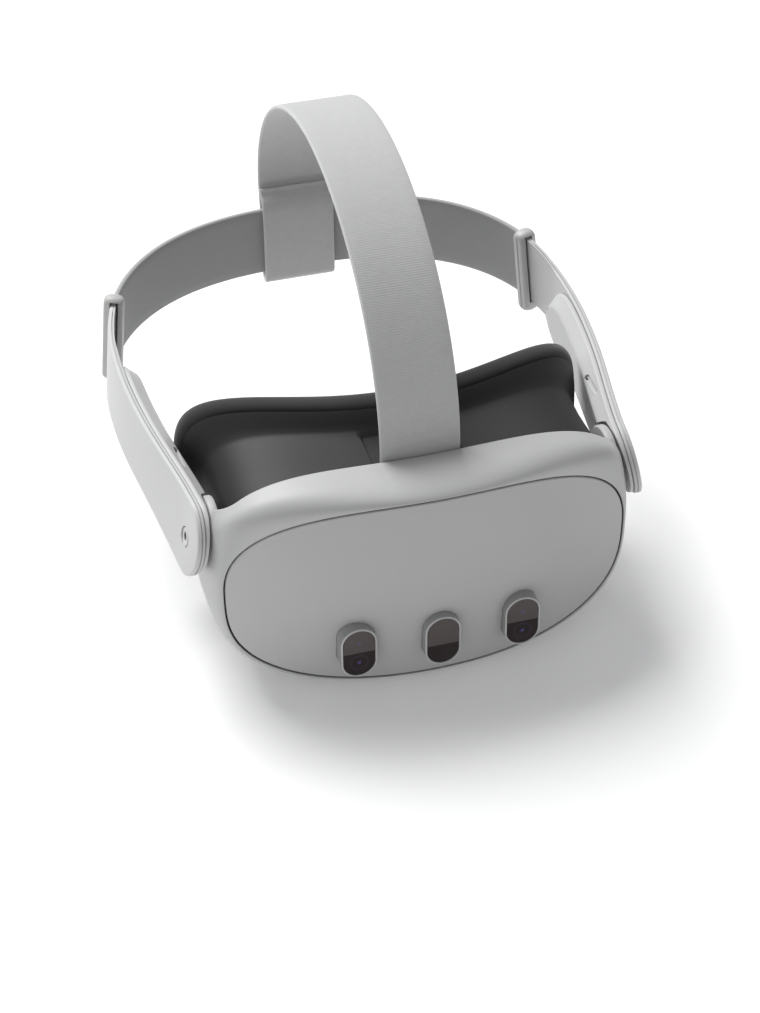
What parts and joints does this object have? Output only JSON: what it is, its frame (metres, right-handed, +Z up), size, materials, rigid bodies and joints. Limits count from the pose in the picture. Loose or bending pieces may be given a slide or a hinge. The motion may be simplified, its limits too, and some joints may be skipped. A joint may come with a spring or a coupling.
{
  "type": "vr headset",
  "caption": "Head-mounted display: rounded visor with sensor pods, padded face interface that slides for eye relief, tilting side arms, adjustable rear strap and a top strap.",
  "frame": {"origin": "centre of the bounding box in X and Y, on the surface that the visor stands on", "axes": "+X right as seen from the front, +Y from the front cover to the back of the head, +Z up"},
  "size_m": [0.1922, 0.214, 0.1685],
  "materials": {
    "shell_plastic": "fine matt",
    "cover_plastic": "fine matt",
    "seal_rubber": "matt",
    "bezel_plastic": "satin",
    "sensor_glass": "dark gloss",
    "camera_black": "gloss",
    "chassis_metal": "bead blasted",
    "circuit_board": "solder mask",
    "inner_black": "matt",
    "battery_wrap": "satin film",
    "steel": "polished",
    "contact_gold": "plated",
    "lens_glass": "coated",
    "display_glass": "gloss",
    "button_plastic": "satin",
    "interface_plastic": "fine matt",
    "face_foam": "soft matt knit over foam",
    "arm_plastic": "fine matt",
    "slider_plastic": "satin",
    "band_elastic": "smooth elastic band",
    "webbing": "ribbed webbing"
  },
  "bodies": {
    "visor": {"visor_shell": "shell_plastic", "front_cover": "cover_plastic", "front_gasket": "seal_rubber", "sensor_bezel_left": "bezel_plastic", "sensor_bezel_center": "bezel_plastic", "sensor_bezel_right": "bezel_plastic", "sensor_window_left": "sensor_glass", "sensor_window_center": "sensor_glass", "sensor_window_right": "sensor_glass", "passthrough_camera_left": "camera_black", "passthrough_camera_right": "camera_black", "tracking_camera_left": "camera_black", "tracking_camera_right": "camera_black", "depth_projector": "camera_black", "midframe": "chassis_metal", "main_board": "circuit_board", "heat_sink": "chassis_metal", "fan_housing": "inner_black", "battery_pack": "battery_wrap", "ipd_guide_rods": "steel", "optics_cover": "inner_black", "proximity_sensor": "camera_black", "chassis_screws": "steel", "dock_contacts": "contact_gold", "top_strap_anchor": "steel", "top_strap": "webbing", "hinge_neck_left": "shell_plastic", "hinge_neck_right": "shell_plastic", "pivot_pin_left": "steel", "pivot_pin_right": "steel"},
    "ipd_wheel": {"ipd_wheel": "inner_black"},
    "lens_module_left": {"lens_barrel_left": "inner_black", "lens_left": "lens_glass", "display_left": "display_glass"},
    "lens_module_right": {"lens_barrel_right": "inner_black", "lens_right": "lens_glass", "display_right": "display_glass"},
    "fan_rotor": {"fan_rotor": "inner_black"},
    "power_button": {"power_button": "button_plastic"},
    "volume_rocker": {"volume_rocker": "button_plastic"},
    "face_interface": {"face_frame": "interface_plastic", "face_cushion": "face_foam", "nose_flap": "face_foam"},
    "depth_button_left": {"depth_button_left": "interface_plastic"},
    "depth_button_right": {"depth_button_right": "interface_plastic"},
    "left_arm": {"arm_shell_left": "arm_plastic", "strap_arm_left": "arm_plastic", "speaker_left": "inner_black", "usb_c_port": "steel", "rear_strap": "band_elastic"},
    "right_arm": {"arm_shell_right": "arm_plastic", "strap_arm_right": "arm_plastic", "speaker_right": "inner_black", "audio_jack": "inner_black"},
    "strap_slider_left": {"strap_slider_left": "slider_plastic"},
    "strap_slider_right": {"strap_slider_right": "slider_plastic"}
  },
  "joints": [
    {"name": "left_arm_tilt", "type": "hinge", "parent": "visor", "child": "left_arm", "pos_m": [-0.083, -0.067, 0.0615], "axis": [1, 0, 0], "range_deg": [-10, 20], "deforming": ["top_strap"]},
    {"name": "right_arm_tilt", "type": "hinge", "parent": "visor", "child": "right_arm", "pos_m": [0.083, -0.067, 0.0615], "axis": [1, 0, 0], "range_deg": [-10, 20], "deforming": ["top_strap"]},
    {"name": "strap_slider_left_slide", "type": "slide", "parent": "left_arm", "child": "strap_slider_left", "axis": [-0.3406, -0.9359, -0.0896], "range_m": [0, 0.006]},
    {"name": "strap_slider_right_slide", "type": "slide", "parent": "right_arm", "child": "strap_slider_right", "axis": [0.3406, -0.9359, -0.0896], "range_m": [0, 0.006]},
    {"name": "eye_relief", "type": "slide", "parent": "visor", "child": "face_interface", "axis": [0, 1, 0], "range_m": [0, 0.009]},
    {"name": "depth_button_left_press", "type": "slide", "parent": "face_interface", "child": "depth_button_left", "axis": [1, 0, 0], "range_m": [0, 0.0015], "stiffness_N_per_m": 600},
    {"name": "depth_button_right_press", "type": "slide", "parent": "face_interface", "child": "depth_button_right", "axis": [-1, 0, 0], "range_m": [0, 0.0015], "stiffness_N_per_m": 600},
    {"name": "lens_left_slide", "type": "slide", "parent": "visor", "child": "lens_module_left", "axis": [-1, 0, 0], "range_m": [-0.004, 0.004]},
    {"name": "lens_right_slide", "type": "slide", "parent": "visor", "child": "lens_module_right", "axis": [1, 0, 0], "range_m": [-0.004, 0.004]},
    {"name": "ipd_wheel_turn", "type": "hinge", "parent": "visor", "child": "ipd_wheel", "pos_m": [0, -0.0925, 0.0108], "axis": [0, 1, 0], "range_deg": [-150, 150]},
    {"name": "fan_spin", "type": "hinge", "parent": "visor", "child": "fan_rotor", "pos_m": [0, -0.095, 0.062], "axis": [0, 1, 0], "continuous": true},
    {"name": "power_button_press", "type": "slide", "parent": "visor", "child": "power_button", "axis": [0, 0, 1], "range_m": [0, 0.0008], "stiffness_N_per_m": 800},
    {"name": "volume_rocker_tilt", "type": "hinge", "parent": "visor", "child": "volume_rocker", "pos_m": [0.04, -0.071, 0.005], "axis": [0, 1, 0], "range_deg": [-2.5, 2.5], "stiffness_Nm_per_rad": 0.05}
  ],
  "couplings": [
    {"joint": "right_arm_tilt", "follows": "left_arm_tilt", "ratio": 1},
    {"joint": "lens_right_slide", "follows": "lens_left_slide", "ratio": 1},
    {"joint": "ipd_wheel_turn", "follows": "lens_left_slide", "rad_per_m": 650}
  ]
}
